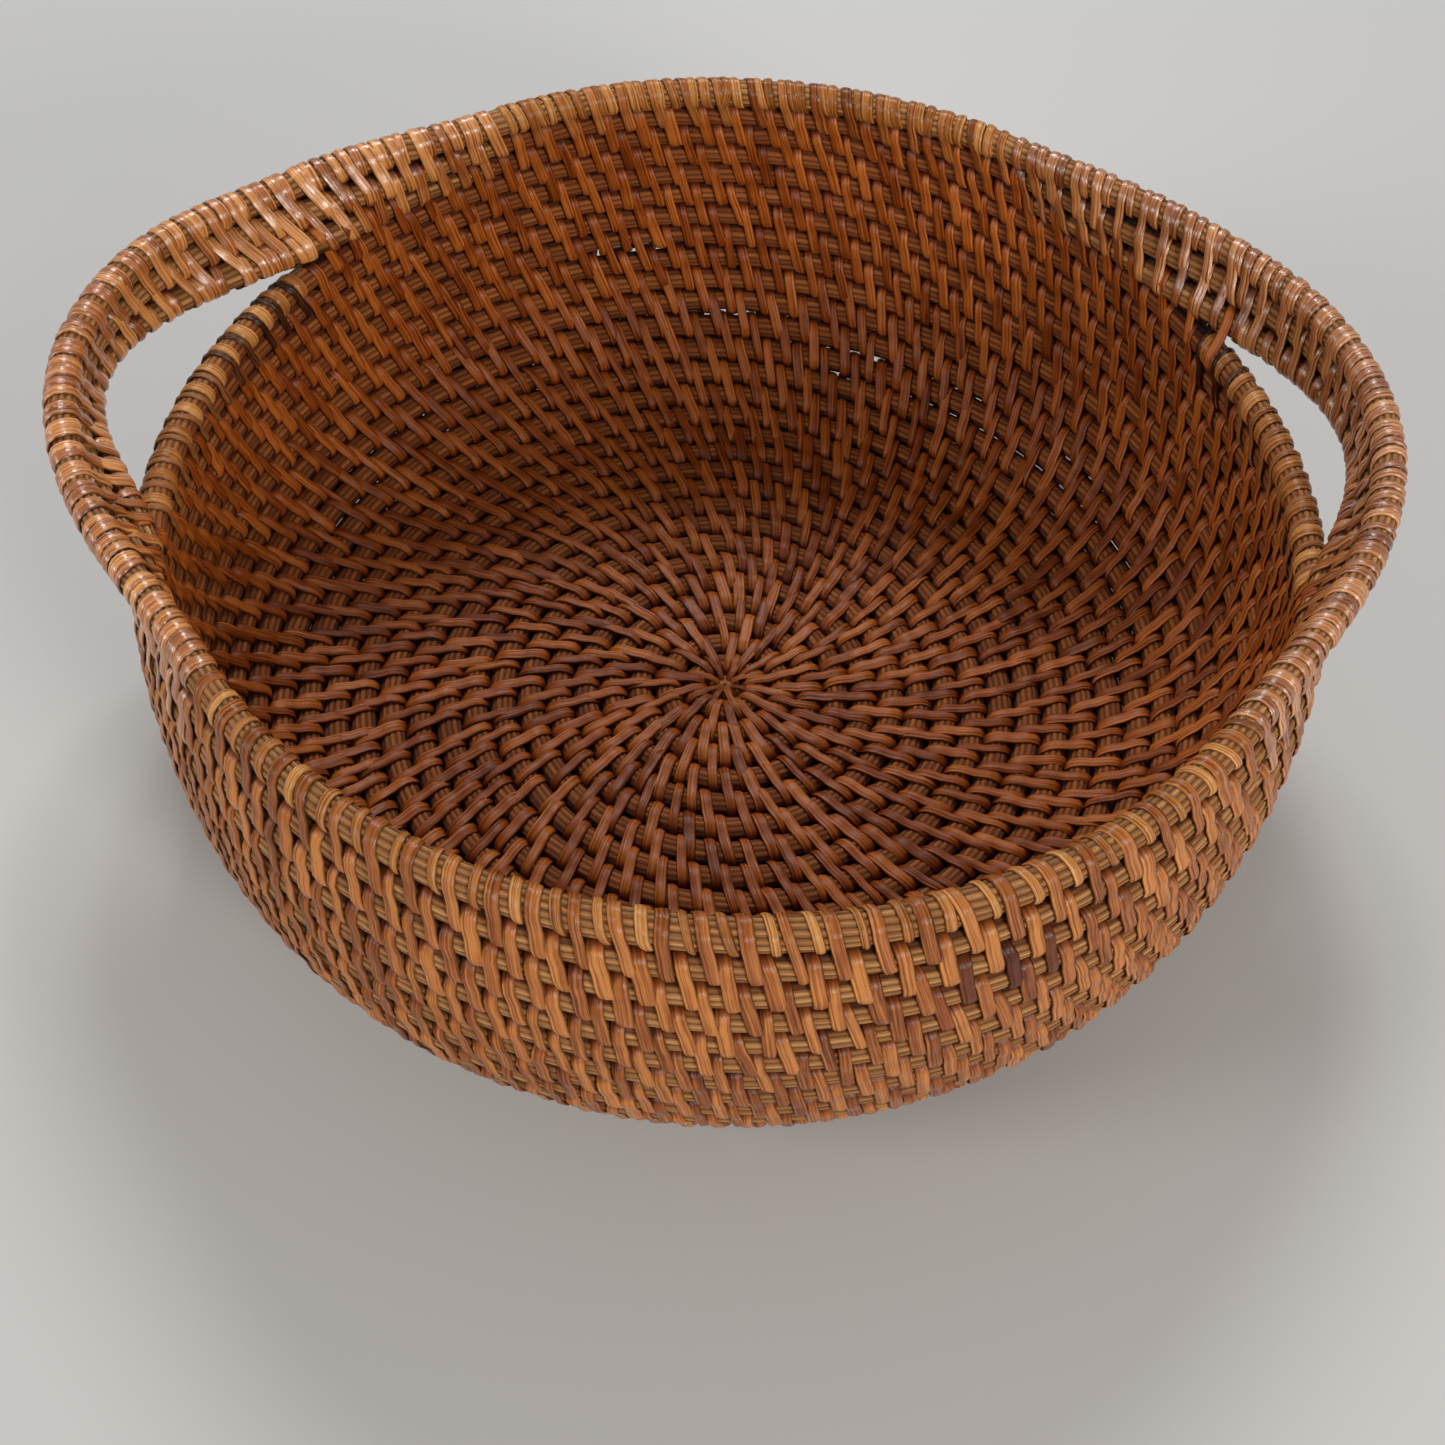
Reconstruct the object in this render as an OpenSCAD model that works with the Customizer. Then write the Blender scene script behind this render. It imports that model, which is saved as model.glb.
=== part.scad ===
// Round coiled rattan fruit basket with two open side handles.
// One long core is coiled from the middle of the floor up to the rim, and each course is bound to
// the one before it. Here every course is a closed ring. The top three courses are open arcs, and
// at both sides they swing out, stacked on each other, as the handles.

/* [Basket] */
// Radius of the rim coil's centre line
rim_r = 130; // [120:1:140]
// How far the wall leans inward at the rim, in degrees
rim_lean = 18; // [14:1:20]
// Angle that the wall turns through between the rim and the corner, in degrees
wall_turn = 25; // [22:1:28]
// Radius of the wall's outward belly, seen from the side
belly_r = 139; // [130:1:150]
// Radius of the rounded corner between the wall and the floor
corner_r = 43; // [40:1:46]
// Depth of the flat that is worn under each floor course
worn_flat = 0.3; // [0.2:0.05:0.5]

/* [Handles] */
// Direction of the left handle's middle, in degrees from +X
left_angle = 169; // [165:0.5:180]
// Direction of the right handle's middle, in degrees from +X
right_angle = 10; // [0:0.5:15]
// How far the left handle's top coil stands out from the rim's circle
left_bulge = 27; // [24:1:34]
// How far the right handle's top coil stands out from the rim's circle
right_bulge = 20; // [18:1:34]
// How much less each coil below it stands out
bulge_step = 1.25; // [1:0.25:4]
// Half the angle that the top coil takes to swing out and back
bow_half = 47; // [44:1:50]
// How much sooner each coil below it rejoins the wall, in degrees
bow_step = 10; // [7:1:11]

/* [Binding] */
// Width of a binding strip
strip_w = 3.6; // [2.5:0.1:4.5]
// Thickness of a binding strip
strip_t = 0.75; // [0.5:0.05:1]
// Distance along the rim from one long stitch to the next
stitch_pitch = 8; // [7.6:0.1:12]
// Half the angle over which the wall's edge under a handle is bound with loose ties
edge_half = 20; // [16:1:24]

/* [Hidden] */
$fn = 48;
clearance = 0.02;

// The profile, from the rim down: an arc that bellies out, a rounded corner and a flat floor.
belly_length = belly_r * wall_turn * PI / 180;
corner_start = wall_turn - rim_lean;
corner_length = corner_r * (90 - corner_start) * PI / 180;
belly_end_r = rim_r + belly_r * (cos(corner_start) - cos(rim_lean));
floor_r = belly_end_r - corner_r * cos(corner_start);

// Twenty-eight courses follow the rim, and the start knot fills what is left in the middle.
last_course = 28;
pitch = (belly_length + corner_length + floor_r) / (last_course + 1.1);
wrapped_r = pitch / 2 - clearance;
core_r = wrapped_r - strip_t - 2 * clearance;
floor_z = wrapped_r - worn_flat;
corner_start_z = floor_z + corner_r * (1 - sin(corner_start));
rim_z = corner_start_z + belly_r * (sin(corner_start) + sin(rim_lean));
knot_r = course_r(last_course) - wrapped_r - clearance;

// The slope of the profile at a distance along it from the rim: 0 is straight down, 90 is inward.
function slope(along) =
    along < belly_length ? along / belly_r * 180 / PI - rim_lean
    : min(90, corner_start + (along - belly_length) / corner_r * 180 / PI);
function profile_r(along) =
    along < belly_length ? rim_r + belly_r * (cos(slope(along)) - cos(rim_lean))
    : along < belly_length + corner_length ? floor_r + corner_r * cos(slope(along))
    : floor_r - (along - belly_length - corner_length);
function profile_z(along) =
    along < belly_length ? rim_z - belly_r * (sin(slope(along)) + sin(rim_lean))
    : floor_z + corner_r * (1 - sin(slope(along)));
// Courses are counted from the rim, which is course 0.
function course_r(course) = profile_r(course * pitch);
function course_z(course) = profile_z(course * pitch);

// Each handle is [direction, bulge of its top coil]. Its coils are courses 0, 1 and 2.
LEFT = [left_angle, left_bulge];
RIGHT = [right_angle, right_bulge];
// How far a handle's coil stands out from its course, at an angle from the handle's middle.
function bow(handle, coil, angle) =
    let (half = bow_half - coil * bow_step)
    abs(angle) < half ? (handle[1] - coil * bulge_step) * pow(cos(90 * angle / half), 2) : 0;
function bow_r(handle, coil, angle) = course_r(coil) + bow(handle, coil, angle);
// Height between a handle's coil and the next one down, which keeps them one pitch apart.
function bow_rise(handle, coil, angle) =
    sqrt(pow(pitch, 2) - pow(bow_r(handle, coil, angle) - bow_r(handle, coil + 1, angle), 2));
// Where the coils lean, the stack is lower. Part of that lifts the lowest coil off the wall.
lift_share = 0.4;
function stack_height(handle, angle) = bow_rise(handle, 0, angle) + bow_rise(handle, 1, angle);
function bow_low_z(handle, angle) =
    course_z(2) + lift_share * (stack_height(handle, bow_half) - stack_height(handle, angle));
function bow_z(handle, coil, angle) =
    bow_low_z(handle, angle)
    + (coil < 2 ? bow_rise(handle, 1, angle) : 0)
    + (coil < 1 ? bow_rise(handle, 0, angle) : 0);
function bow_point(handle, coil, angle) =
    let (r = bow_r(handle, coil, angle), direction = handle[0] + angle)
    [r * cos(direction), r * sin(direction), bow_z(handle, coil, angle)];
function bow_tangent(handle, coil, angle) =
    let (step = bow_point(handle, coil, angle + 0.1) - bow_point(handle, coil, angle - 0.1))
    step / norm(step);

// How much thinner the strip turns are on the handles.
handle_squeeze = 0.25;

function two_digits(n) = n < 10 ? str("0", n) : str(n);
FLOOR_COURSES = 12;
CORNER_COURSES = 8;
WALL_COURSES = 5;
EDGE_COURSE = 3;

// The small button of core that the coil starts from.
module start_knot() {
    color("sienna") cylinder(h = floor_z + wrapped_r - worn_flat, r = knot_r);
}

// A closed ring of wrapped core. A ring that the basket rests on has its underside worn flat.
module course_ring(course) {
    color("peru") rotate_extrude()
        intersection() {
            translate([course_r(course), course_z(course)]) circle(r = wrapped_r);
            square([2 * rim_r, 2 * rim_z]);
        }
}

// An open arc of one of the top three courses, between the handles.
module course_arc(course, from, to) {
    color("burlywood") rotate([0, 0, from]) rotate_extrude(angle = to - from)
        translate([course_r(course), course_z(course)]) circle(r = core_r);
}

module front_arc(course) {
    course_arc(course, left_angle + bow_half, 360 + right_angle - bow_half);
}

module back_arc(course) {
    course_arc(course, right_angle + bow_half, left_angle - bow_half);
}

// A tube of core swept along one coil of a handle.
module handle_coil(handle, coil) {
    sides = 12;
    steps = 48;
    rings = [for (i = [0:steps])
        let (
            angle = bow_half * (2 * i / steps - 1),
            centre = bow_point(handle, coil, angle),
            forward = bow_tangent(handle, coil, angle),
            across = cross(forward, [0, 0, 1]) / norm(cross(forward, [0, 0, 1])),
            up = cross(across, forward)
        )
        for (j = [0:sides - 1])
            centre + core_r * (cos(360 * j / sides) * across + sin(360 * j / sides) * up)
    ];
    skin = [for (i = [0:steps - 1], j = [0:sides - 1])
        let (a = i * sides + j, b = i * sides + (j + 1) % sides)
        [a, b, b + sides, a + sides]
    ];
    first_end = [for (j = [sides - 1:-1:0]) j];
    last_end = [for (j = [0:sides - 1]) steps * sides + j];
    color("burlywood") polyhedron(points = rings, faces = concat(skin, [first_end, last_end]));
}

// One turn of a binding strip round a core that runs along Z.
module strip_turn(outer_r) {
    difference() {
        cylinder(h = strip_w, r = outer_r, center = true);
        cylinder(h = strip_w + 1, r = core_r + clearance, center = true);
    }
}

// Strip turns round a course, at even steps between two directions.
module arc_turns(course, from, to, count, shift) {
    step = (to - from) / count;
    for (i = [0:count - 1])
        rotate([0, 0, from + (i + shift) * step])
            translate([course_r(course), 0, course_z(course)])
                rotate([90, 0, 0]) strip_turn(wrapped_r);
}

// Strip turns round both arcs of one of the top three courses.
module course_turns(course, shift) {
    front = 360 + right_angle - left_angle - 2 * bow_half;
    back = left_angle - right_angle - 2 * bow_half;
    turn_angle = stitch_pitch / rim_r * 180 / PI;
    front_start = left_angle + bow_half;
    back_start = right_angle + bow_half;
    arc_turns(course, front_start, front_start + front, round(front / turn_angle), shift);
    arc_turns(course, back_start, back_start + back, round(back / turn_angle), shift);
}

// Every second turn on the rim is a long stitch, and the turns between them are short ones.
module rim_long_stitches() {
    color("sienna") course_turns(0, 0.25);
}

module rim_short_stitches() {
    color("goldenrod") course_turns(0, 0.75);
}

// The stitches of the two courses under the rim sit halfway between each other.
module upper_wall_stitches() {
    color("chocolate") course_turns(1, 0.5);
    color("chocolate") course_turns(2, 0);
}

// Strip turns round all three coils of a handle, staggered from coil to coil. They are a little
// thinner than on the rim, because the coils lie closer where they lean.
module handle_binding(handle) {
    count = round(2 * bow_half * PI / 180 * (rim_r + handle[1] / 2) / stitch_pitch);
    color("chocolate") for (coil = [0:2], i = [0:count - 1]) {
        angle = bow_half * (2 * (i + 0.3 + 0.2 * coil) / count - 1);
        forward = bow_tangent(handle, coil, angle);
        translate(bow_point(handle, coil, angle))
            rotate([0, acos(forward[2]), atan2(forward[1], forward[0])])
                strip_turn(wrapped_r - handle_squeeze);
    }
}

// Raised turns on the wall's edge, where it runs free under a handle.
module edge_turns(handle, shift) {
    count = round(2 * edge_half * PI / 180 * course_r(EDGE_COURSE) / stitch_pitch);
    for (i = [0:count - 1])
        rotate([0, 0, handle[0] - edge_half + 2 * edge_half * (i + shift) / count])
            translate([course_r(EDGE_COURSE), 0, course_z(EDGE_COURSE)])
                rotate([90, 0, 0]) edge_turn();
}

// Half a turn over the top of the edge course, which it sits on.
module edge_turn() {
    difference() {
        cylinder(h = strip_w, r = wrapped_r + strip_t, center = true);
        cylinder(h = strip_w + 1, r = wrapped_r + clearance, center = true);
        translate([0, -wrapped_r * 2, 0]) cube([4, 4, 2] * wrapped_r, center = true);
    }
}

module edge_ties(handle) {
    color("goldenrod") edge_turns(handle, 0.25);
}

module edge_dark_ties(handle) {
    color("saddlebrown") edge_turns(handle, 0.75);
}

start_knot();
for (i = [1:FLOOR_COURSES])
    course_ring(last_course + 1 - i);
for (i = [1:CORNER_COURSES])
    course_ring(last_course + 1 - FLOOR_COURSES - i);
for (i = [1:WALL_COURSES])
    course_ring(EDGE_COURSE + 1 + WALL_COURSES - i);
course_ring(EDGE_COURSE);  // edge_course
front_arc(2);  // third_course_front
back_arc(2);  // third_course_back
front_arc(1);  // second_course_front
back_arc(1);  // second_course_back
front_arc(0);  // rim_course_front
back_arc(0);  // rim_course_back
handle_coil(LEFT, 0);  // left_handle_top_coil
handle_coil(LEFT, 1);  // left_handle_middle_coil
handle_coil(LEFT, 2);  // left_handle_lower_coil
handle_coil(RIGHT, 0);  // right_handle_top_coil
handle_coil(RIGHT, 1);  // right_handle_middle_coil
handle_coil(RIGHT, 2);  // right_handle_lower_coil
rim_long_stitches();
rim_short_stitches();
upper_wall_stitches();
handle_binding(LEFT);  // left_handle_binding
handle_binding(RIGHT);  // right_handle_binding
edge_ties(LEFT);  // left_edge_ties
edge_dark_ties(LEFT);  // left_edge_dark_ties
edge_ties(RIGHT);  // right_edge_ties
edge_dark_ties(RIGHT);  // right_edge_dark_ties
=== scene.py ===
"""A round fruit basket of coiled rattan, bound with flat strips, with a handle at each side.

Courses are counted from the rim, which is course 0, down the wall and across the floor to
course 28. Each course is a ribbed core, and each stitch is a flat strip that loops round its
own course and the next one down. Lengths are in metres and directions are in degrees.
"""

import math

import bpy
import numpy as np
from mathutils import Matrix, Vector


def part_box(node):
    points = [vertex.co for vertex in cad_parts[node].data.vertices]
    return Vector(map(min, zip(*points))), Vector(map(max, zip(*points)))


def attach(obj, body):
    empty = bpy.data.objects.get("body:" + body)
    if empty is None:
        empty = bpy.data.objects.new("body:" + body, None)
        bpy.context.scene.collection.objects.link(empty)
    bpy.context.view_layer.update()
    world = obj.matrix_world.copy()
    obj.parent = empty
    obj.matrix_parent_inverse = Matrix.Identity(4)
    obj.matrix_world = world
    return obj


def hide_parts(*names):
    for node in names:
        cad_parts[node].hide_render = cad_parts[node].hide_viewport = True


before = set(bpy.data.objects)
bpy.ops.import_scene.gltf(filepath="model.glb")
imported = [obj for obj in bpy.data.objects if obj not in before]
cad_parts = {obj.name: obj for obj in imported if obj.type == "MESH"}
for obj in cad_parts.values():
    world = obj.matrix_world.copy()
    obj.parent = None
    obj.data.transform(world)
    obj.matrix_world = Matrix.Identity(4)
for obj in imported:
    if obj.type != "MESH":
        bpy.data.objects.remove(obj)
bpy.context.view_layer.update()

MM = 0.001
EDGE_COURSE = 3  # the wall's edge under the handles
LAST_WALL, LAST_CORNER, LAST_COURSE = 8, 16, 28
rng = np.random.default_rng(20)

# Sizes of the weave.
CORE_HIGH = 3.6 * MM  # half the core's size along the wall
CORE_DEEP = 3.22 * MM  # half the core's size through the wall
STRIP_T = 0.55 * MM
STRIP_W = 3.0 * MM
STITCH_PITCH = 8.95 * MM
CENTRE_PITCH = 6.6 * MM  # between the stitches of the innermost course
HANDLE_PITCH = 6.5 * MM
EDGE_TIES = 12  # under each handle
STITCH_DIP = 0.25 * MM  # how far a strip sags between the two courses that it spans
WORN = 0.6 * MM  # below this height the underside is worn flat
# How much the strips vary: standard deviations, the last three as shares or in radians.
SLANT_VARIES, WOBBLE = 0.55 * MM, 0.24 * MM
WIDTH_VARIES, THICKNESS_VARIES, TILT = 0.1, 0.08, 0.09
OVER_LIFT = 0.22 * MM  # a stitch lies over the ones of the course below
CENTRE_RADIUS = 4.6 * MM  # of the small circle in the middle where the first stitches end
CLEAR_GAP = 1.15  # pitches between a handle's lowest coil and the wall where they count as apart
EDGE_HALF = 19  # half the angle over which the wall's edge is free under a handle


# ---------------------------------------------------------------- places, from the CAD nodes


def ring_node(course):
    """Name of a closed course's CAD node. Each group is numbered from its lower or inner end."""
    if course > LAST_CORNER:
        return f"floor_course_{LAST_COURSE + 1 - course:02d}"
    if course > LAST_WALL:
        return f"corner_course_{LAST_CORNER + 1 - course:02d}"
    if course > EDGE_COURSE:
        return f"wall_course_{LAST_WALL + 1 - course:02d}"
    return "edge_course"


def measure_courses():
    """Radius and height of each course's centre line."""
    low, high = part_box("edge_course")
    wrapped = (high.z - low.z) / 2
    places = []
    for arc in ("rim_course_front", "second_course_front", "third_course_front"):
        low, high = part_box(arc)
        core = (high.z - low.z) / 2
        places.append((-low.y - core, (high.z + low.z) / 2))
    for course in range(EDGE_COURSE, LAST_COURSE + 1):
        low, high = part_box(ring_node(course))
        places.append((high.x - wrapped, high.z - wrapped))
    return np.array(places)


COURSES = measure_courses()
PITCH = float(np.hypot(*(COURSES[4] - COURSES[3])))


class Handle:
    """One side handle: three coils, stacked on each other, that swing out from the rim."""

    half = 47  # half the angle that the top coil takes to swing out and back
    half_step = 10  # how much sooner each coil below it rejoins the wall
    bulge_step = 1.25 * MM  # how much less each coil below it stands out
    lift_share = 0.4  # how much of the lean's loss of height lifts the lowest coil

    def __init__(self, side, direction, bulge):
        self.side, self.direction, self.bulge = side, direction, bulge

    def radius(self, coil, angle):
        half = self.half - coil * self.half_step
        swing = (self.bulge - coil * self.bulge_step) * np.cos(np.radians(90 * angle / half)) ** 2
        return COURSES[coil, 0] + np.where(np.abs(angle) < half, swing, 0)

    def rise(self, coil, angle):
        """Height between a coil and the next one down, which stay one pitch apart."""
        lean = self.radius(coil, angle) - (
            COURSES[3, 0] if coil == 2 else self.radius(coil + 1, angle)
        )
        return np.sqrt(np.maximum(PITCH**2 - lean**2, 0))

    def height(self, coil, angle):
        stack = self.rise(0, angle) + self.rise(1, angle)
        full = self.rise(0, np.float64(self.half)) + self.rise(1, np.float64(self.half))
        z = COURSES[2, 1] + self.lift_share * (full - stack)
        if coil < 2:
            z = z + self.rise(1, angle)
        if coil < 1:
            z = z + self.rise(0, angle)
        return z

    def angle_from_middle(self, direction):
        return (np.asarray(direction, float) - self.direction + 180) % 360 - 180


LEFT = Handle("left", 169, 27 * MM)
RIGHT = Handle("right", 10, 20 * MM)


def centre_line(course, direction):
    """Points on a course's centre line. The top three courses run on through the handles."""
    direction = np.asarray(direction, float)
    if course > LAST_COURSE:  # the point where the first stitches meet
        radius = np.full(direction.shape, CENTRE_RADIUS)
        height = np.full(direction.shape, COURSES[-1, 1])
    else:
        radius = np.full(direction.shape, COURSES[course, 0])
        height = np.full(direction.shape, COURSES[course, 1])
    if course < EDGE_COURSE:
        for handle in (LEFT, RIGHT):
            angle = handle.angle_from_middle(direction)
            inside = np.abs(angle) < handle.half
            radius = np.where(inside, handle.radius(course, angle), radius)
            height = np.where(inside, handle.height(course, angle), height)
    turn = np.radians(direction)
    return np.stack([radius * np.cos(turn), radius * np.sin(turn), height], -1)


def unit(v):
    return v / np.maximum(np.linalg.norm(v, axis=-1, keepdims=True), 1e-12)


def course_frame(course, direction):
    """Centre, forward, down towards the next course, and outward, at each direction."""
    centre = centre_line(course, direction)
    forward = unit(centre_line(course, direction + 0.2) - centre_line(course, direction - 0.2))
    if course == 2:  # the lowest coil that runs on through the handles
        down = centre - centre_line(1, direction)
    else:
        down = centre_line(course + 1, direction) - centre
    down = unit(down - forward * np.sum(down * forward, -1, keepdims=True))
    return centre, forward, down, np.cross(down, forward)


# ---------------------------------------------------------------- mesh building


class Piece:
    """Gathers grids of points into one mesh, with where each point lies on its strip or rib."""

    def __init__(self):
        self.points, self.quads, self.uvs, self.tones = [], [], [], []
        self.count = 0

    def add_grids(self, points, u, v, tone, wrap_rows=False):
        """points is (pieces, rows, columns, 3) and columns close on themselves.

        u is (pieces, rows [+1]) and v is (columns + 1,); tone holds (pieces, rows, columns, 4).
        """
        pieces, rows, columns = points.shape[:3]
        height = points[..., 2]
        worn = WORN * np.exp((height - WORN) / WORN)
        points[..., 2] = np.where(height < WORN, worn, height)
        self.points.append(points.reshape(-1, 3))
        self.tones.append(tone.reshape(-1, 4))
        spans = rows if wrap_rows else rows - 1
        i, j = np.meshgrid(np.arange(spans), np.arange(columns), indexing="ij")
        i2, j2 = (i + 1) % rows, (j + 1) % columns
        corners = [i * columns + j, i2 * columns + j, i2 * columns + j2, i * columns + j2]
        quad = np.stack(corners, -1)
        shift = np.arange(pieces)[:, None, None, None] * rows * columns + self.count
        self.quads.append((quad[None] + shift).reshape(-1, 4))
        along = np.stack([i, i + 1, i + 1, i], -1)
        across = np.stack([j, j, j + 1, j + 1], -1)
        uv = np.stack([u[:, along], np.broadcast_to(v[across], (pieces,) + across.shape)], -1)
        self.uvs.append(uv.reshape(-1, 2))
        self.count += pieces * rows * columns

    def build(self, name, material, slot, nodes):
        mesh = bpy.data.meshes.new(name)
        points = np.concatenate(self.points).astype(np.float32)
        quads = np.concatenate(self.quads).astype(np.int32)
        mesh.vertices.add(len(points))
        mesh.vertices.foreach_set("co", points.ravel())
        mesh.loops.add(quads.size)
        mesh.loops.foreach_set("vertex_index", quads.ravel())
        mesh.polygons.add(len(quads))
        mesh.polygons.foreach_set("loop_start", np.arange(0, quads.size, 4, dtype=np.int32))
        mesh.polygons.foreach_set("use_smooth", np.ones(len(quads), bool))
        mesh.update(calc_edges=True)
        layer = mesh.uv_layers.new(name="weave")
        layer.data.foreach_set("uv", np.concatenate(self.uvs).astype(np.float32).ravel())
        tone = mesh.color_attributes.new("tone", "FLOAT_COLOR", "POINT")
        tone.data.foreach_set("color", np.concatenate(self.tones).astype(np.float32).ravel())
        mesh.materials.append(material)
        mesh.validate()
        piece = bpy.data.objects.new(name, mesh)
        bpy.context.scene.collection.objects.link(piece)
        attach(piece, "root")
        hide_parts(*nodes)


def smooth_noise(size, scale):
    """A closed row of smooth random numbers, about from -1 to 1."""
    waves = max(2, int(size / scale))
    turn = np.linspace(0, 2 * np.pi, size, endpoint=False)
    total = np.zeros(size)
    for wave in range(1, waves + 1):
        total += rng.normal() * np.sin(wave * turn + rng.uniform(0, 2 * np.pi))
    return total / max(np.abs(total).max(), 1e-9)


def facing_out(course, deep, in_air):
    """0 where a course faces into the basket and 1 elsewhere, or where it's out in the air."""
    return np.ones_like(deep) if in_air or course == 0 else np.clip(0.5 + 0.5 * deep, 0, 1)


# Places where the courses lie a little apart and let light through: the course, the direction,
# half the angle that it takes up, and how much thinner the cores are there.
THIN_SPOTS = (
    (7, 104, 8, 1.5 * MM),
    (10, 93, 5, 0.75 * MM),
    (11, 72, 4, 0.6 * MM),
    (12, 75, 3, 0.6 * MM),
)


def slackness(course, direction):
    """How much thinner a core is at its lower and upper sides, in metres."""
    below, above = np.zeros_like(direction), np.zeros_like(direction)
    for spot, middle, half, depth in THIN_SPOTS:
        slack = depth * np.exp(-(((direction - middle) / half) ** 4))
        if course == spot:
            below = below + slack
        if course == spot + 1:
            above = above + slack
    return below, above


RIBS = 13
RIB_SHAPE = np.array([-0.17, 0.02, 0.04]) * MM  # groove, then the two shoulders of each rib
RIB_VARIES = 0.07 * MM
RIB_TWIST = 1.2  # how many ribs' width the bundle turns by, at most, either way
CORE_STEP = 2.6 * MM  # between the points along a core


def core_piece(name, course, start, end, nodes, open_top=None, open_bottom=None, in_air=False):
    """The ribbed core of a course, from one direction to another, or right round."""
    closed = end - start >= 360
    length = np.radians(end - start) * max(COURSES[course, 0], 12 * MM)
    steps = int(length / CORE_STEP) + 8
    direction = start + (end - start) * np.arange(steps if closed else steps + 1) / steps
    centre, forward, down, outward = course_frame(course, direction)
    rows = len(direction)
    columns = RIBS * 3
    twist = RIB_TWIST * smooth_noise(rows, rows / 3)
    sizes = np.stack([smooth_noise(rows, 12) for _ in range(RIBS)], 1)
    turn = (np.arange(columns)[None] / 3 + twist[:, None]) / RIBS * 2 * np.pi
    bump = np.tile(RIB_SHAPE, RIBS)[None] + RIB_VARIES * np.repeat(sizes, 3, axis=1)
    below, above = slackness(course, direction)
    slack = np.where(np.cos(turn) > 0, below[:, None], above[:, None])
    high = (CORE_HIGH - slack + bump) * np.cos(turn)
    deep = (CORE_DEEP - slack * np.abs(np.cos(turn)) + bump) * np.sin(turn)
    points = (
        centre[:, None] + down[:, None] * high[..., None] + outward[:, None] * deep[..., None]
    )
    tone = np.ones((1, rows, columns, 4))
    # Painted shade: the core is darkened where it faces up or down into the joints between courses,
    # unless that side is open to the air.
    top = np.clip(-np.cos(turn), 0, 1) ** 2
    bottom = np.clip(np.cos(turn), 0, 1) ** 2
    if open_top is not None:
        top *= ~open_top(direction)[:, None]
    if open_bottom is not None:
        bottom *= ~open_bottom(direction)[:, None]
    tone[0, ..., 0] = top + bottom  # 1 in the joints between the courses
    # 0 in the grooves between the ribs, where painted shade goes.
    tone[0, ..., 1] = np.tile([0.0, 1.0, 1.0], RIBS)[None]
    tone[0, ..., 2] = rng.uniform()
    tone[0, ..., 3] = facing_out(course, np.sin(turn), in_air)
    u = np.linspace(0, length / MM, rows + 1)[None] + rng.uniform(0, 500)
    v = np.arange(columns + 1) / 3
    piece = Piece()
    piece.add_grids(points[None], u, v, tone, wrap_rows=closed)
    piece.build(name, core_material, "rattan_core", nodes)


# A strip's section: across it in half widths, and up from the core in thicknesses.
SECTION = np.array(
    [
        (-0.9, 0), (-1, 0.35), (-0.8, 0.8), (-0.42, 1.12), (0, 1.22),
        (0.42, 1.12), (0.8, 0.8), (1, 0.35), (0.9, 0),
    ]
)
FLANK = 5  # points along each flat side of a loop
CAP = 7  # points round each end of a loop


def loop_shape():
    """A loop round two courses, from the middle of its lower end, up inside and down outside.

    Gives for each point how far it is from the upper course to the lower one, and the angle
    that places it round that course's core.
    """
    lower_in = np.linspace(0, 90, CAP // 2 + 1)[:-1]
    upper = np.linspace(90, 270, CAP)[1:-1]
    lower_out = np.linspace(270, 360, CAP // 2 + 1)[1:]
    flank = np.linspace(0, 1, FLANK)
    ones = np.ones(FLANK)
    mix = np.concatenate(
        [np.ones(len(lower_in)), 1 - flank, np.zeros(len(upper)), flank, np.ones(len(lower_out))]
    )
    turn = np.radians(np.concatenate([lower_in, 90 * ones, upper, 270 * ones, lower_out]))
    return mix, turn


def turn_shape():
    """A loop round one course."""
    turn = np.linspace(0, 2 * np.pi, 2 * CAP + 3)
    return np.zeros(len(turn)), turn


LOOP, TURN = loop_shape(), turn_shape()


def advance(mix, turn, inner, outer, end):
    """How far along the course a strip has moved at each point of its loop.

    It moves by inner on the way up inside, by outer on the way down outside, and by end as it
    rounds each end. inner and outer have one value for each strip.
    """
    reach = mix.max() * PITCH
    face = (mix * PITCH + np.cos(turn) * CORE_HIGH + CORE_HIGH) / (reach + 2 * CORE_HIGH)
    inner, outer = np.asarray(inner)[:, None], np.asarray(outer)[:, None]
    moved = np.where(turn <= np.pi, inner * (1 - face), inner + outer * face)
    # The lower end's second half, the upper end and the lower end's first half, in eighths of a
    # turn: where each starts, how long it is, and its share of the move.
    eighth = np.pi / 4
    for start, length, share in ((0, 1, 0.5), (3, 2, 1), (7, 1, 0.5)):
        moved = moved + end * share * np.clip((turn / eighth - start) / length, 0, 1)
    return moved - (inner + outer / 2 + 1.5 * end)


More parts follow.
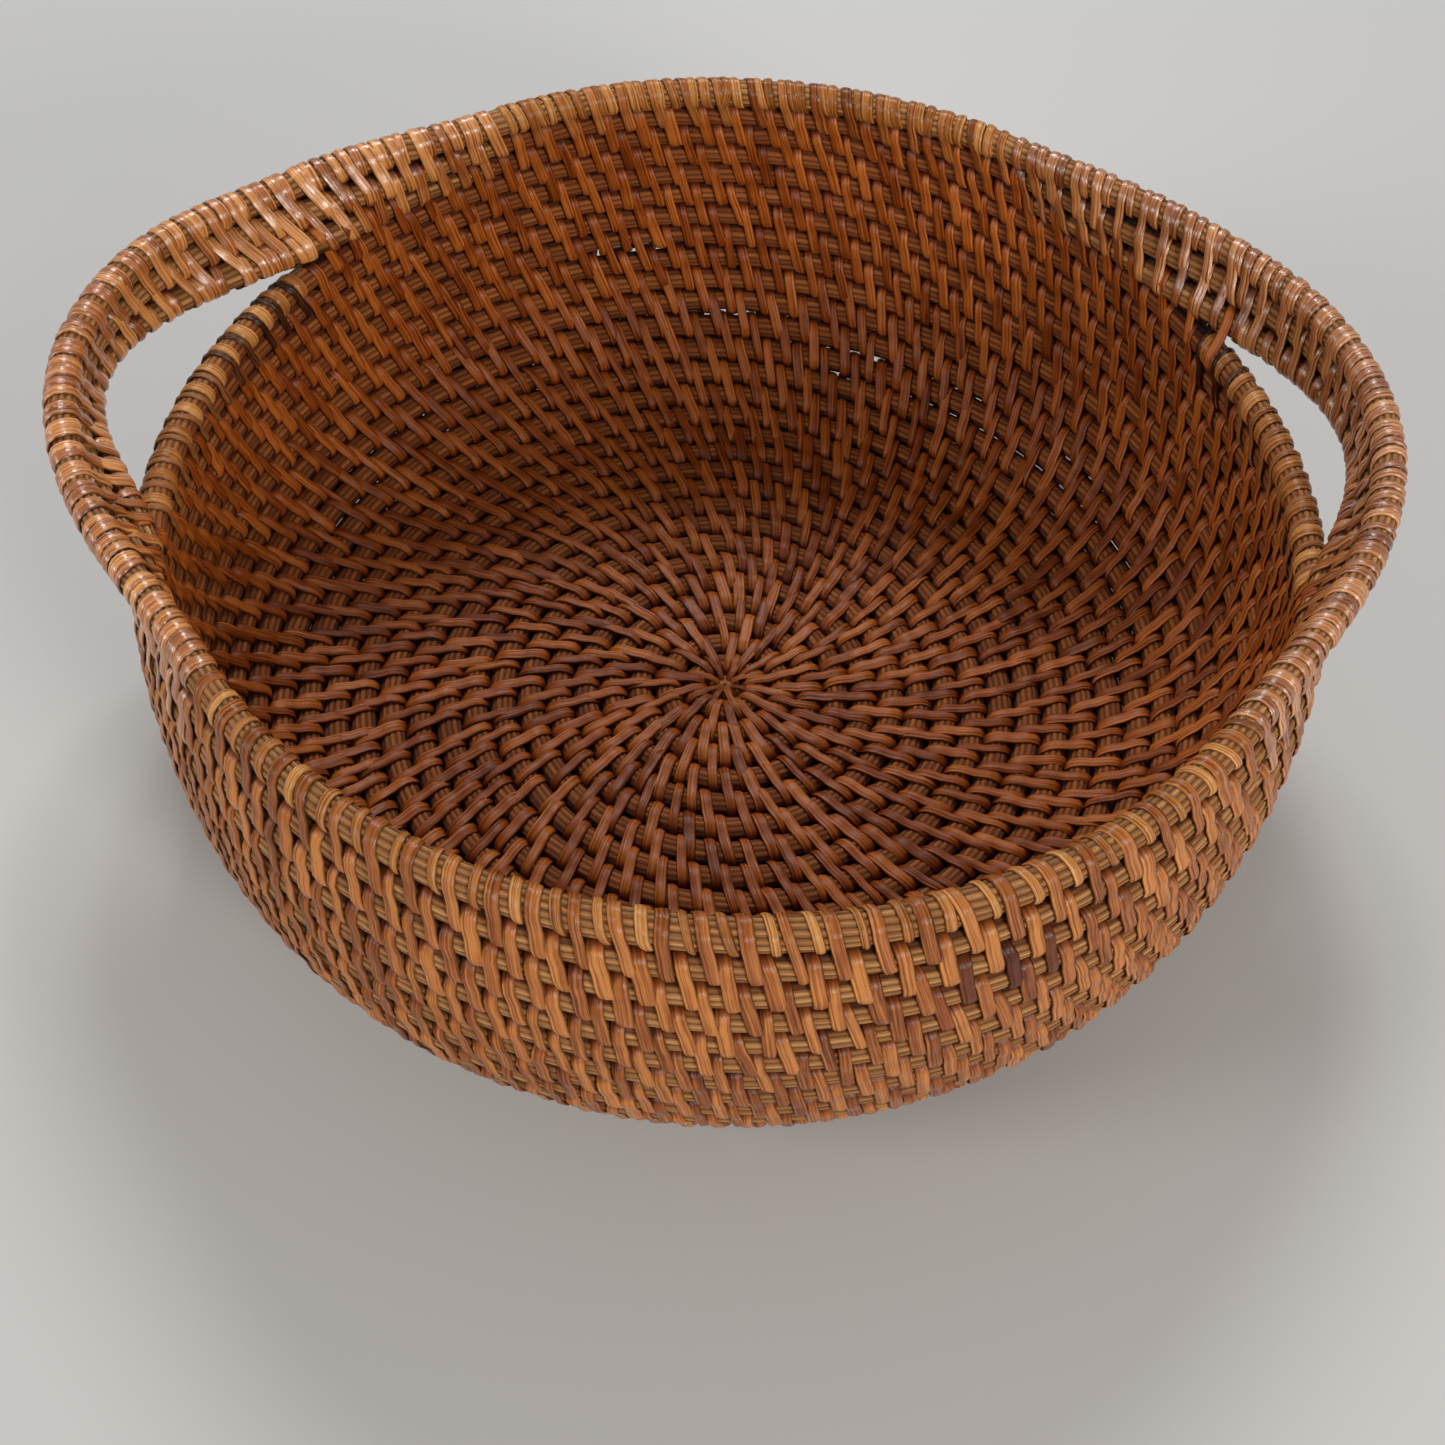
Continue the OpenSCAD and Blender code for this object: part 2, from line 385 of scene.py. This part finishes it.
def stitches(
    piece, upper, lower, direction, shape, steps, width, lift=0.0, taper=1.0,
    open_top=False, open_bottom=False, shade=None, in_air=False, stained=0.0,
):
    """Adds one strip per direction, looped round the cores of two courses or of one.

    steps are in millimetres. The stored tones are the larger of the painted shade where a point
    tucks into a joint and the strip's stain, the strip's own tone, a fixed value, and whether
    the point faces out of the basket.
    """
    mix, turn = shape
    high, deep = np.cos(turn), -np.sin(turn)
    count, rows = len(direction), len(mix)
    knots = np.linspace(0, 2 * np.pi, 5)
    wobble = np.array([np.interp(turn, knots, rng.normal(0, WOBBLE, 5)) for _ in direction])
    inner, outer, end = (np.broadcast_to(np.asarray(step, float) * MM, (count,)) for step in steps)
    inner, outer = (step + rng.normal(0, SLANT_VARIES, count) for step in (inner, outer))
    offset = advance(mix, turn, inner, outer, end[:, None]) + wobble
    radius = max(COURSES[upper, 0] - 0.5 * PITCH, 5 * MM)
    where = direction[:, None] + np.degrees(offset / radius)
    a, forward, down, outward = course_frame(upper, where)
    b = centre_line(lower, where)
    gap = STRIP_T * 0.08
    reach = (mix > 0.5) * OVER_LIFT + lift
    dip = STITCH_DIP * np.sin(np.pi * mix) ** 2
    path = (
        a * (1 - mix)[None, :, None]
        + b * mix[None, :, None]
        + down * ((CORE_HIGH + gap) * high)[None, :, None]
        + outward * (((CORE_DEEP + gap + reach) - dip) * deep)[None, :, None]
    )
    away = down * high[None, :, None] + outward * deep[None, :, None]
    along = unit(np.gradient(path, axis=1))
    side = unit(np.cross(along, away))
    away = np.cross(side, along)
    tilt = rng.normal(0, TILT, (count, 1, 1))
    away, side = away + side * tilt, side - away * tilt
    narrowed = 1 - (1 - taper) * mix
    wide = (width * (1 + rng.normal(0, WIDTH_VARIES, count)))[:, None] * narrowed[None]
    thick = STRIP_T * (1 + rng.normal(0, THICKNESS_VARIES, (count, 1)))
    points = (
        path[:, :, None]
        + side[:, :, None] * (SECTION[None, None, :, 0] * wide[..., None] / 2)[..., None]
        + away[:, :, None] * (SECTION[None, None, :, 1] * thick[..., None])[..., None]
    )
    tone = np.zeros((count, rows, len(SECTION), 4))
    # Painted shade: darker towards each end, where the strip tucks into a joint, unless that end is
    # open to the air. Where the dark patch's stain is darker, it takes the place of the shade.
    top = np.clip(-high, 0, 1) ** 3 * (1 - np.broadcast_to(open_top, (count,)))[:, None]
    bottom = np.clip(high, 0, 1) ** 3 * (1 - np.broadcast_to(open_bottom, (count,)))[:, None]
    tone[..., 0] = np.maximum(top + bottom, np.broadcast_to(stained, (count,))[:, None])[:, :, None]
    tone[..., 1] = (rng.uniform(0, 1, count) if shade is None else shade)[:, None, None]
    tone[..., 2] = 0.5
    tone[..., 3] = facing_out(upper, deep, in_air)[:, None]
    u = np.cumsum(np.linalg.norm(np.diff(path, axis=1), axis=-1), axis=1) / MM
    u = np.concatenate([np.zeros((count, 1)), u, u[:, -1:]], axis=1)
    u = u + rng.uniform(0, 900, (count, 1))
    v = np.concatenate([SECTION[:, 0], SECTION[:1, 0] - 0.001])
    piece.add_grids(points, u, v, tone)


# ---------------------------------------------------------------- materials


class Nodes:
    """Short calls for building a material's node tree."""

    def __init__(self, material):
        material.use_nodes = True
        self.tree = material.node_tree
        self.shader = self.tree.nodes["Principled BSDF"]

    def new(self, kind, inputs=None, **settings):
        node = self.tree.nodes.new("ShaderNode" + kind)
        for key, value in settings.items():
            setattr(node, key, value)
        for key, value in (inputs or {}).items():
            self.put(node.inputs[key], value)
        return node

    def put(self, socket, value):
        if isinstance(value, bpy.types.NodeSocket):
            self.tree.links.new(value, socket)
        else:
            socket.default_value = value

    def math(self, operation, a, b=0.0, c=0.0):
        return self.new("Math", {0: a, 1: b, 2: c}, operation=operation).outputs[0]

    def multiply(self, a, b):
        """Multiplies two colours. A Mix node's colour sockets come after its other ones."""
        node = self.new("Mix", {0: 1.0, 6: a, 7: b}, data_type="RGBA", blend_type="MULTIPLY")
        return node.outputs[2]

    def ramp(self, factor, *stops):
        node = self.new("ValToRGB", {0: factor})
        ramp = node.color_ramp
        while len(ramp.elements) < len(stops):
            ramp.elements.new(0.5)
        for element, (place, colour) in zip(ramp.elements, stops, strict=True):
            element.position = place
            element.color = tuple(colour) + (1,)
        return node.outputs[0]

    def noise(self, vector, scale, detail, rough=0.5):
        inputs = {"Vector": vector, "Scale": scale, "Detail": detail, "Roughness": rough}
        return self.new("TexNoise", inputs).outputs[0]


def grey(value):
    return (value, value, value)


# Colours are given dark, middling and light. These tints paint shade inside the basket, darker and
# redder.
INSIDE_SHADE_STRIPS, INSIDE_SHADE_CORES = (0.90, 0.69, 0.45), (0.70, 0.46, 0.29)
CORE = ((0.16, 0.058, 0.014), (0.42, 0.175, 0.050), (0.68, 0.35, 0.125))
RATTAN = ((0.10, 0.021, 0.003), (0.31, 0.085, 0.014), (0.56, 0.205, 0.048))
GOLDEN = ((0.15, 0.042, 0.007), (0.37, 0.125, 0.024), (0.62, 0.28, 0.08))
RIM = ((0.10, 0.023, 0.004), (0.29, 0.080, 0.015), (0.54, 0.20, 0.052))
# The left handle's colours are lighter than the right's: painted light, for the light that falls on
# the left handle.
LIT_LEFT_HANDLE = ((0.12, 0.027, 0.005), (0.41, 0.120, 0.025), (0.80, 0.35, 0.105))
RIGHT_HANDLE = ((0.10, 0.022, 0.005), (0.30, 0.086, 0.021), (0.62, 0.27, 0.095))
DARK = ((0.02, 0.006, 0.003), (0.05, 0.015, 0.007), (0.34, 0.125, 0.036))


def weave_inputs(n, along_scale, across_scale, shade_colour):
    """A strip's or core's own coordinates, its stored tones, where fibre streaks are taken from,
    the painted shade that darkens and reddens the inside, and 1 where it faces out.
    """
    uv = n.new("UVMap", uv_map="weave").outputs[0]
    split = n.new("SeparateXYZ", {0: uv})
    tone = n.new("Attribute", attribute_name="tone")
    parts = n.new("SeparateColor", {0: tone.outputs["Color"]})
    shift = n.math("MULTIPLY", parts.outputs[1], 37.0)
    vector = n.new(
        "CombineXYZ",
        {
            0: n.math("MULTIPLY", split.outputs[0], along_scale),
            1: n.math("MULTIPLY", split.outputs[1], across_scale),
            2: shift,
        },
    ).outputs[0]
    # Painted shade: the side facing into the basket is darkened and reddened.
    inside = n.ramp(tone.outputs["Alpha"], (0.2, shade_colour), (0.7, grey(1)))
    return split, parts, vector, inside, tone.outputs["Alpha"]


def strip_material(name, colours, shaded_inside=True):
    """A flat strip of rattan: fine lines along it, a glossy skin, and painted shade at its
    tucked-in ends.

    Strips shaded inside are painted darker and redder inside the basket, as shade, and are duller
    there. The handles' strips are glossier.
    """
    dark, mid, light = colours
    material = bpy.data.materials.new(name)
    n = Nodes(material)
    n.shader.inputs["Coat Weight"].default_value = 0.0 if shaded_inside else 0.35
    n.shader.inputs["Coat Roughness"].default_value = 0.12
    split, parts, streak_at, inside, outer = weave_inputs(n, 0.03, 1.9, INSIDE_SHADE_STRIPS)
    shade_and_stain, tone = parts.outputs[0], parts.outputs[1]
    lines = n.noise(streak_at, 1.5, 3.0, 0.6)
    fibres = n.noise(streak_at, 4.5, 3.0, 0.6)
    patch_along = n.math("MULTIPLY", split.outputs[0], 0.16)
    patch_at = n.new("CombineXYZ", {0: patch_along, 1: tone}).outputs[0]
    patch = n.noise(patch_at, 1.0, 2.0)
    level = n.math("MULTIPLY_ADD", lines, 1.35, n.math("MULTIPLY_ADD", tone, 0.34, -0.56))
    level = n.math("MULTIPLY_ADD", patch, 0.35, level)
    level = n.math("MULTIPLY_ADD", fibres, 0.25, level)
    colour = n.ramp(level, (0.2, dark), (0.5, mid), (0.82, light))
    # Across the strip: darker at both sides, and a paler line near one side with a dark line next
    # to it.
    across = n.math("MULTIPLY_ADD", split.outputs[1], 0.5, 0.5)
    edge = n.ramp(
        across, (0.0, grey(0.25)), (0.12, grey(0.9)), (0.62, grey(1)),
        (0.72, grey(0.5)), (0.82, grey(1.22)), (0.92, grey(1.12)), (1.0, grey(0.3)),
    )
    colour = n.multiply(colour, edge)
    # Painted shade at the tucked-in ends, and the real stain of the dark patch, darken the strip.
    shade_and_stain_tint = n.ramp(shade_and_stain, (0.2, grey(1)), (0.55, (0.6, 0.42, 0.32)), (0.9, (0.12, 0.06, 0.04)))
    colour = n.multiply(colour, shade_and_stain_tint)
    # Painted shade inside the basket.
    if shaded_inside:
        colour = n.multiply(colour, inside)
    n.put(n.shader.inputs["Base Color"], colour)
    roughness = n.math("MULTIPLY_ADD", fibres, 0.3, 0.10)
    if shaded_inside:  # duller inside
        roughness = n.math("ADD", roughness, n.math("MULTIPLY_ADD", outer, -0.14, 0.14))
    n.put(n.shader.inputs["Roughness"], roughness)
    n.shader.inputs["Specular IOR Level"].default_value = 0.3 if shaded_inside else 0.9
    height = n.math("MULTIPLY_ADD", fibres, 0.35, lines)
    bump = n.new("Bump", {"Strength": 0.55, "Distance": 0.0006, "Height": height})
    n.put(n.shader.inputs["Normal"], bump.outputs[0])
    return material


def make_core_material():
    """A bundle of fine ribs along the course, with painted shade in the grooves, in the joints
    between courses and inside the basket.
    """
    material = bpy.data.materials.new("rattan core")
    n = Nodes(material)
    split, parts, streak_at, inside, _ = weave_inputs(n, 0.04, 3.2, INSIDE_SHADE_CORES)
    joint, crest = parts.outputs[0], parts.outputs[1]
    rib = n.math("FLOOR", split.outputs[1])
    rib_at = n.new("CombineXYZ", {0: rib, 1: parts.outputs[2]}).outputs[0]
    own = n.new("TexWhiteNoise", {0: rib_at}, noise_dimensions="2D")
    streak = n.noise(streak_at, 2.2, 3.0, 0.65)
    level = n.math("MULTIPLY_ADD", own.outputs[0], 0.35, n.math("MULTIPLY", streak, 0.8))
    dark, mid, light = CORE
    colour = n.ramp(level, (0.25, dark), (0.55, mid), (0.9, light))
    # Painted shade in the grooves between the ribs.
    groove = n.ramp(crest, (0.0, (0.42, 0.28, 0.2)), (0.45, grey(1)))
    colour = n.multiply(colour, groove)
    # Painted shade in the joints between the courses.
    shade = n.ramp(joint, (0.25, grey(1)), (0.6, (0.5, 0.34, 0.25)), (0.9, (0.05, 0.025, 0.016)))
    colour = n.multiply(colour, shade)
    # Painted shade inside the basket.
    colour = n.multiply(colour, inside)
    n.put(n.shader.inputs["Base Color"], colour)
    n.put(n.shader.inputs["Roughness"], n.math("MULTIPLY_ADD", streak, 0.25, 0.5))
    n.shader.inputs["Specular IOR Level"].default_value = 0.3
    bump = n.new("Bump", {"Strength": 0.8, "Distance": 0.0005, "Height": streak})
    n.put(n.shader.inputs["Normal"], bump.outputs[0])
    return material


core_material = make_core_material()
strip_look = strip_material("rattan strip", RATTAN)
golden_look = strip_material("golden strip", GOLDEN)
rim_look = strip_material("rim strip", RIM)
HANDLE_LOOKS = {
    "left": strip_material("left handle strip", LIT_LEFT_HANDLE, shaded_inside=False),
    "right": strip_material("right handle strip", RIGHT_HANDLE, shaded_inside=False),
}
dark_look = strip_material("dark strip", DARK)

# ---------------------------------------------------------------- courses and stitches


def place_stitches():
    """Directions of the stitches of each course. Each lies between two of the course below.

    Where a longer course needs more stitches, they are added in its widest gaps.
    """
    places = {}
    count = 8  # on the innermost course
    row = np.arange(count) * 360 / count + rng.normal(0, 3, count)
    for course in range(LAST_COURSE, -1, -1):
        radius = COURSES[max(course, 6), 0]  # no more stitches from the wall's belly up
        pitch = np.interp(course, [21, 28], [STITCH_PITCH, CENTRE_PITCH])
        target = max(count, round(2 * np.pi * radius / pitch))
        if course < LAST_COURSE:
            row = row + (np.roll(row, -1) - row) % 360 / 2
        gaps = (np.roll(row, -1) - row) % 360
        weights = gaps * (1 + rng.uniform(-0.25, 0.25, len(row)))
        added = np.argsort(-weights)[: max(0, target - len(row))]
        row = np.sort(np.concatenate([row, row[added] + gaps[added] / 2]) % 360)
        for _ in range(4):  # evens the row out a little
            ahead = (np.roll(row, -1) - row) % 360
            behind = (row - np.roll(row, 1)) % 360
            row = row + 0.3 * (ahead - behind) / 2
        row = np.sort(row % 360)
        places[course] = row
    return places


STITCHES = place_stitches()


def within(direction, start, end):
    """True from one direction round to another."""
    return (direction - start) % 360 <= end - start


def free_of_wall(direction):
    """True where the handles' lowest coil stands clear of the wall."""
    gap = np.linalg.norm(centre_line(2, direction) - centre_line(3, direction), axis=-1)
    return gap > CLEAR_GAP * PITCH


def floor_share(course):
    """0 on the wall, 1 on the floor."""
    return float(np.clip((course - LAST_WALL) / (LAST_CORNER + 1 - LAST_WALL), 0, 1))


def row_steps(course):
    """How far a row's stitches slant inside, outside and round their ends, in millimetres."""
    inner = np.interp(course, [4, 10, 17, 22, 26, 28], [3.8, 4.3, 3.8, 3.0, 1.6, 0.4])
    outer = 3.0 - 0.8 * floor_share(course)
    return inner, outer, 0.6


def add_row(piece, course, direction, width=STRIP_W, **more):
    """Adds a course's ordinary stitches. The innermost ones narrow towards the middle."""
    taper = {26: 0.9, 27: 0.85, 28: 0.6}.get(course, 1.0)
    steps = row_steps(course)
    stitches(piece, course, course + 1, direction, LOOP, steps, width, taper=taper, **more)


def everywhere(direction):
    return np.ones(np.shape(direction), bool)


# Where the top three courses are on the wall, as directions from start to end.
FRONT = (LEFT.direction + LEFT.half, 360 + RIGHT.direction - RIGHT.half)
BACK = (RIGHT.direction + RIGHT.half, LEFT.direction - LEFT.half)


def free_edge(direction):
    clear = [np.abs(handle.angle_from_middle(direction)) < EDGE_HALF for handle in (LEFT, RIGHT)]
    return clear[0] | clear[1]


def stain_of(course, direction):
    """How darkly a stitch is stained: there is a small dark patch at the front right."""
    around, down = (direction - 294) / 8, (course - 2.4) / 0.9  # from the patch's middle
    patch = np.exp(-(around**2)) * np.exp(-(down**2))
    return np.minimum(1.3 * patch * rng.uniform(0.4, 1, np.shape(direction)), 0.8)


for course in range(EDGE_COURSE, LAST_COURSE + 1):
    node = ring_node(course)
    row = STITCHES[course]
    strips = Piece()
    if course == EDGE_COURSE:
        core_piece(node + "_core", course, 0, 360, [node], open_top=free_of_wall)
        row = row[~free_edge(row)]
    else:
        core_piece(node + "_core", course, 0, 360, [node])
    add_row(strips, course, row, stained=stain_of(course, row))
    strips.build(node + "_stitches", strip_look, "rattan_strip", [node])

TOP_COURSES = (("rim_course", everywhere), ("second_course", None), ("third_course", None))
for course, (name, open_top) in enumerate(TOP_COURSES):
    for side, (start, end) in (("front", FRONT), ("back", BACK)):
        node = f"{name}_{side}"
        core_piece(node + "_core", course, start - 0.5, end + 0.5, [node], open_top=open_top)
COILS = (("top", everywhere, None), ("middle", None, None), ("lower", None, free_of_wall))
for handle in (LEFT, RIGHT):
    for coil, (name, open_top, open_bottom) in enumerate(COILS):
        start, end = handle.direction - handle.half, handle.direction + handle.half
        node = f"{handle.side}_handle_{name}_coil"
        core_name = f"{handle.side}_handle_{name}_core"
        core_piece(core_name, coil, start, end, [node], open_top, open_bottom, in_air=True)

# The two courses under the rim. The lower one runs on under the handles to where they part.
upper = Piece()
row = STITCHES[1]
row = row[within(row, *FRONT) | within(row, *BACK)]
add_row(upper, 1, row, width=3.4 * MM, shade=rng.uniform(0.4, 1.2, len(row)))
row = STITCHES[2]
row = row[~free_of_wall(row)]
add_row(upper, 2, row, stained=stain_of(2, row))
upper.build("upper_wall_strips", strip_look, "rattan_strip", ["upper_wall_stitches"])

# The rim's long stitches, with one short turn between them in front and two at the back.
long_ones, short_ones = Piece(), Piece()
row = STITCHES[0]
gaps = (np.roll(row, -1) - row) % 360
front, back = within(row, *FRONT), within(row, *BACK)
add_row(long_ones, 0, row[front | back], width=2.9 * MM, open_top=True)
places = (row + gaps / 2)[front]
stitches(short_ones, 0, 0, places, TURN, (0.8, 1.8, 0.8), 2.1 * MM, open_top=True)
for share in (1 / 3, 2 / 3):
    places = (row + gaps * share)[back]
    stitches(short_ones, 0, 0, places, TURN, (1.4, 1.4, 0.6), 2.7 * MM, open_top=True)
long_ones.build("rim_long_strips", rim_look, "rattan_strip", ["rim_long_stitches"])
short_ones.build("rim_short_strips", golden_look, "golden_strip", ["rim_short_stitches"])


def even_directions(handle, spacing):
    """Directions at even steps along a handle's top coil."""
    angle = np.linspace(-handle.half, handle.half, 600)
    line = centre_line(0, handle.direction + angle)
    run = np.concatenate([[0], np.cumsum(np.linalg.norm(np.diff(line, axis=0), axis=1))])
    count = round(run[-1] / spacing)
    return handle.direction + np.interp((np.arange(count) + 0.5) / count * run[-1], run, angle)


# How far a handle's strips slant on the way down inside, by the angle from the handle's middle.
SLANTS = {
    "left": ([-47, -30, -10, 8, 25, 47], [3.8, 3.2, 2.4, 5.5, 6.0, 4.2]),
    "right": ([-47, -30, -12, 3, 20, 47], [3.5, 0.0, -1.0, 2.2, 4.6, 3.8]),
}
# The ties on the edge under a handle are dark at its far end and fade to the strips' brown.
TIE_SHADES = {
    "left": ([-19, -9, 2, 19], [0, 0.1, 1.0, 1.4]),
    "right": ([-19, 9, 13, 19], [1.5, 1.3, 0.15, 0]),
}
HANDLE_STRIPS = {"left": 3.1 * MM, "right": 2.7 * MM}
for handle in (LEFT, RIGHT):
    side, look = handle.side, HANDLE_LOOKS[handle.side]
    binding = Piece()
    row = even_directions(handle, HANDLE_PITCH)
    between = row + np.gradient(row) / 2
    slant = np.interp(handle.angle_from_middle(row), *SLANTS[side])
    steps, strip = (slant, 2.2, 0.4), HANDLE_STRIPS[side]
    clear = free_of_wall(between)
    air = {"in_air": True}
    wraps = row + np.gradient(row) * (1.03 - 0.115 * slant)  # midway between the strips above
    wraps = wraps[free_of_wall(wraps)]
    stitches(binding, 2, 2, wraps, TURN, (1.6, 1, 0.4), 2.9 * MM, open_bottom=True, **air)
    stitches(binding, 1, 2, between, LOOP, steps, strip, open_bottom=clear, **air)
    stitches(binding, 0, 1, row, LOOP, steps, strip, open_top=True, **air)
    stitches(binding, 0, 0, between, TURN, (1.2, 1.0, 0.4), strip, open_top=True, **air)
    binding.build(f"{side}_handle_strips", look, "rattan_strip", [f"{side}_handle_binding"])

    # The wall's free edge: short turns, and ties that also hold the next course down.
    turns, ties = Piece(), Piece()
    air["open_top"] = True
    angle = -EDGE_HALF + 2 * EDGE_HALF * (np.arange(EDGE_TIES) + 0.25) / EDGE_TIES
    row = handle.direction + angle
    stitches(turns, EDGE_COURSE, EDGE_COURSE, row, TURN, (1, 1, 0.5), 3.4 * MM, **air)
    angle = angle + EDGE_HALF / EDGE_TIES
    row = handle.direction + angle
    shade = np.interp(angle, *TIE_SHADES[side])
    stitches(
        ties, EDGE_COURSE, EDGE_COURSE + 1, row, LOOP, (5.2, 2.6, 0.8), 2.1 * MM,
        lift=0.25 * MM, shade=shade, **air,
    )
    turns.build(f"{side}_edge_turns", golden_look, "golden_strip", [f"{side}_edge_ties"])
    ties.build(f"{side}_edge_strips", dark_look, "dark_strip", [f"{side}_edge_dark_ties"])

# The knot that fills the small circle in the middle: a cap, as radius and height of each ring.
knot = Piece()
turn = np.linspace(0, 2 * np.pi, 12, endpoint=False)
levels = np.array([(4.2, -2.6), (4.2, 1.4), (2.6, 2.6), (0.3, 2.9)]) * MM
points = np.stack(
    [
        levels[:, :1] * np.cos(turn)[None],
        levels[:, :1] * np.sin(turn)[None],
        np.broadcast_to(levels[:, 1:] + COURSES[-1, 1], (4, 12)),
    ],
    -1,
)
tone = np.zeros((1, 4, 12, 4))
tone[..., 1] = 0.4
knot.add_grids(points[None], np.arange(5)[None] * 2.0, np.arange(13) / 3, tone)
knot.build("start_knot_core", core_material, "rattan_core", ["start_knot"])

# ---------------------------------------------------------------- floor, light and camera

FLOOR_HALF, FLOOR_COLOUR, FLOOR_ROUGHNESS = 3.0, (0.52, 0.515, 0.50, 1), 0.6
# The photo's camera: where it stands, what it looks at, its roll in degrees and its lens.
CAMERA_PLACE, CAMERA_AIM = (-0.0002, -0.2814, 0.3727), (-0.0002, -0.0083, 0)
CAMERA_ROLL, CAMERA_LENS, CAMERA_SENSOR = 2.712, 42.35, 36
# The windows are discs that face the basket. Each has a name, a place, watts and a colour.
WINDOWS = (
    ("window right", (0.85, -1.15, 0.62), 15, (1, 0.97, 0.93)),
    ("window left", (-1.2, -0.5, 0.7), 7, (1, 0.98, 0.95)),
    ("window back", (-0.05, 1.05, 1.3), 15, (0.97, 0.98, 1)),
)
WINDOW_SIZE, WINDOW_AIM = 0.5, (0, 0, 0.04)
# The light from all round: its colour up to the horizon, and its colour from well above it.
ROOM_LIGHT = ((0.0, (0.95, 0.94, 0.92, 1)), (0.8, (0.72, 0.72, 0.73, 1)))
ROOM_STRENGTH = 0.40


def add_floor():
    mesh = bpy.data.meshes.new("table")
    corners = [
        (x * FLOOR_HALF, y * FLOOR_HALF, 0) for x, y in ((-1, -1), (1, -1), (1, 1), (-1, 1))
    ]
    mesh.from_pydata(corners, [], [(0, 1, 2, 3)])
    floor = bpy.data.objects.new("table", mesh)
    bpy.context.scene.collection.objects.link(floor)
    material = bpy.data.materials.new("pale floor")
    n = Nodes(material)
    n.shader.inputs["Base Color"].default_value = FLOOR_COLOUR
    n.shader.inputs["Roughness"].default_value = FLOOR_ROUGHNESS
    mesh.materials.append(material)


def add_window(name, place, watts, colour):
    data = bpy.data.lights.new(name, "AREA")
    data.shape, data.size, data.energy, data.color = "DISK", WINDOW_SIZE, watts, colour
    light = bpy.data.objects.new(name, data)
    bpy.context.scene.collection.objects.link(light)
    place = Vector(place)
    facing = (Vector(WINDOW_AIM) - place).to_track_quat("-Z", "Y")
    light.matrix_world = Matrix.Translation(place) @ facing.to_matrix().to_4x4()


def add_room_light():
    """Light from all round, a little brighter at the horizon than overhead."""
    world = bpy.data.worlds.new("room")
    world.use_nodes = True
    tree = world.node_tree
    height = tree.nodes.new("ShaderNodeSeparateXYZ")
    tree.links.new(tree.nodes.new("ShaderNodeTexCoord").outputs["Generated"], height.inputs[0])
    ramp = tree.nodes.new("ShaderNodeValToRGB")
    for element, (place, colour) in zip(ramp.color_ramp.elements, ROOM_LIGHT, strict=True):
        element.position, element.color = place, colour
    tree.links.new(height.outputs[2], ramp.inputs[0])
    background = tree.nodes["Background"]
    tree.links.new(ramp.outputs[0], background.inputs[0])
    background.inputs[1].default_value = ROOM_STRENGTH
    bpy.context.scene.world = world


def add_camera():
    place, aim = Vector(CAMERA_PLACE), Vector(CAMERA_AIM)
    roll = math.radians(CAMERA_ROLL)
    forward = (aim - place).normalized()
    level = forward.cross(Vector((0, 0, 1))).normalized()
    upright = level.cross(forward)
    right = level * math.cos(roll) + upright * math.sin(roll)
    up = upright * math.cos(roll) - level * math.sin(roll)
    data = bpy.data.cameras.new("camera")
    data.lens, data.sensor_width = CAMERA_LENS, CAMERA_SENSOR
    data.clip_start = 0.01
    camera = bpy.data.objects.new("camera", data)
    bpy.context.scene.collection.objects.link(camera)
    turn = Matrix((right, up, -forward)).transposed().to_4x4()
    camera.matrix_world = Matrix.Translation(place) @ turn
    bpy.context.scene.camera = camera


add_floor()
add_camera()
for window in WINDOWS:
    add_window(*window)
add_room_light()
bpy.context.scene.view_settings.view_transform = "Standard"
